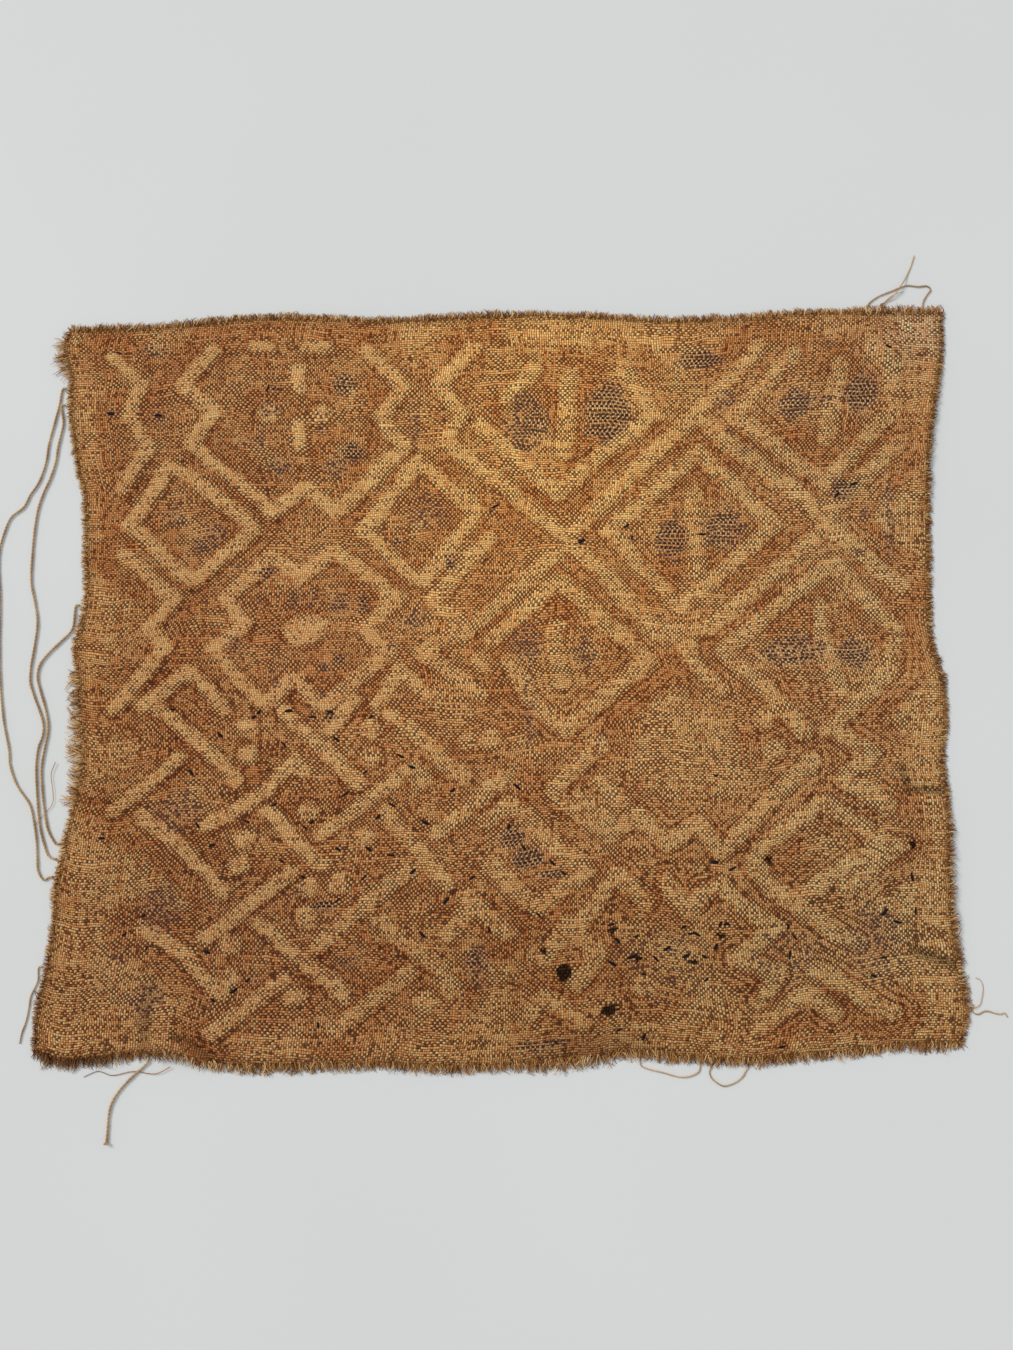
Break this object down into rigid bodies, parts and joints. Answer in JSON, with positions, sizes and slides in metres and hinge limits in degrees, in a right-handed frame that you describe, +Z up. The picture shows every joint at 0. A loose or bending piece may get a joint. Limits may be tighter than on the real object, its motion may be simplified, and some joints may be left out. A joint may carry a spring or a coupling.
{
  "type": "kuba raffia cloth",
  "caption": "Flat rectangular hand-woven raffia cloth lying face down, its cut-pile pattern showing through as low bands, with frayed edges and loose yarns.",
  "frame": {"origin": "middle of the cloth with its fringe, on the surface it lies on", "axes": "+X along the long edge to the picture's right, +Y towards the picture's top edge, +Z up, away from the surface it lies on"},
  "size_m": [0.65, 0.5768, 0.0052],
  "materials": {
    "raffia_weave": "dry, slightly glossy plain-woven raffia with dark dye showing through in places",
    "raffia_fray": "dry frayed raffia fibre",
    "raffia_yarn": "loosely twisted dry raffia fibre"
  },
  "bodies": {
    "root": {"cloth": "raffia_weave", "fray_top": "raffia_fray", "fray_bottom": "raffia_fray", "fray_left": "raffia_fray", "fray_right": "raffia_fray", "yarn_left_outer": "raffia_yarn", "yarn_left_inner": "raffia_yarn", "yarn_left_short": "raffia_yarn", "yarn_left_low": "raffia_yarn", "yarn_bottom_knotted": "raffia_yarn", "yarn_bottom_loop": "raffia_yarn", "yarn_bottom_hoop": "raffia_yarn", "yarn_right_curl": "raffia_yarn", "yarn_top_loop": "raffia_yarn", "yarn_top_bare": "raffia_yarn"}
  },
  "joints": []
}
